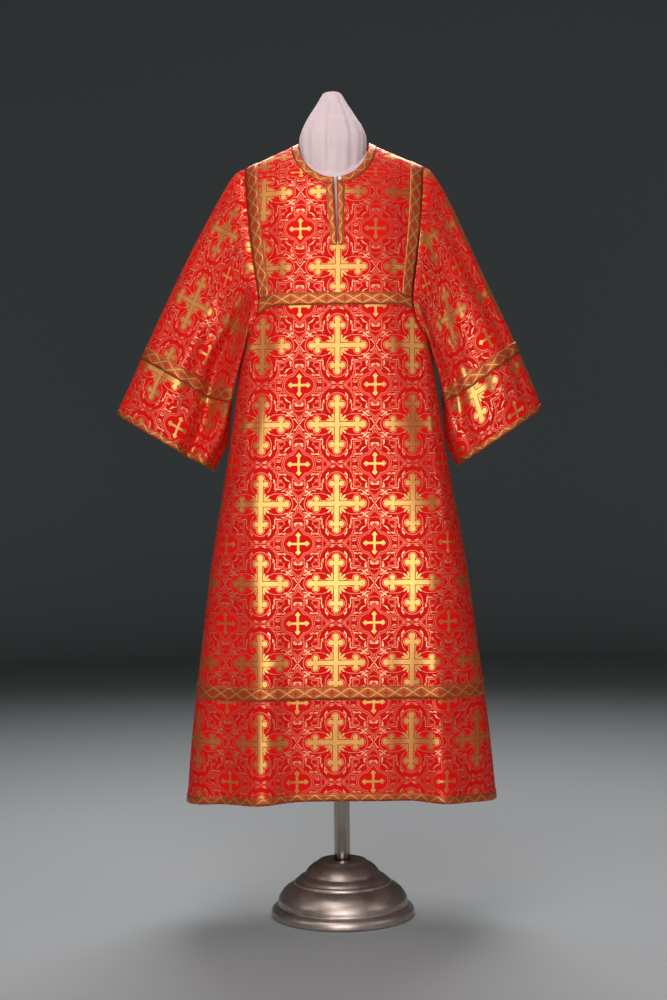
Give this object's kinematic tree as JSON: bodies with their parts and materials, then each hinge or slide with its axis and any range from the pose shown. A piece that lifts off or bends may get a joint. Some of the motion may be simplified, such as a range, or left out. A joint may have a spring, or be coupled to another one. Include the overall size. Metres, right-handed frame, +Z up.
{
  "type": "sticharion on a dress form",
  "caption": "Long straight liturgical robe of cross-patterned brocade with galloon bands and wide sleeves, worn by a limbless dress form on a round stepped base.",
  "frame": {"origin": "centre of the base's underside, on the floor, on the axis of the post", "axes": "+Z up along the post, -Y the front of the garment, +X the wearer's left"},
  "size_m": [0.8494, 0.3542, 1.64],
  "materials": {
    "brocade": "red satin brocade with metallic gold crosses",
    "galloon": "woven gold braid with a lattice and small red crosses",
    "button": "pearl",
    "form_cloth": "matt pale knit",
    "post_steel": "polished tube",
    "base_metal": "polished pewter brown"
  },
  "bodies": {
    "root": {"front_panel": "brocade", "back_panel": "brocade", "sleeve_right": "brocade", "sleeve_left": "brocade", "neck_band_right": "galloon", "neck_band_left": "galloon", "neck_band_back": "galloon", "placket_band_right": "galloon", "placket_band_left": "galloon", "shoulder_band_right": "galloon", "shoulder_band_left": "galloon", "chest_band_front": "galloon", "chest_band_back": "galloon", "lower_band_front": "galloon", "lower_band_back": "galloon", "hem_band_front": "galloon", "hem_band_back": "galloon", "sleeve_band_right": "galloon", "sleeve_band_left": "galloon", "cuff_band_right": "galloon", "cuff_band_left": "galloon", "button": "button", "form_body": "form_cloth", "post": "post_steel", "base": "base_metal"}
  },
  "joints": []
}
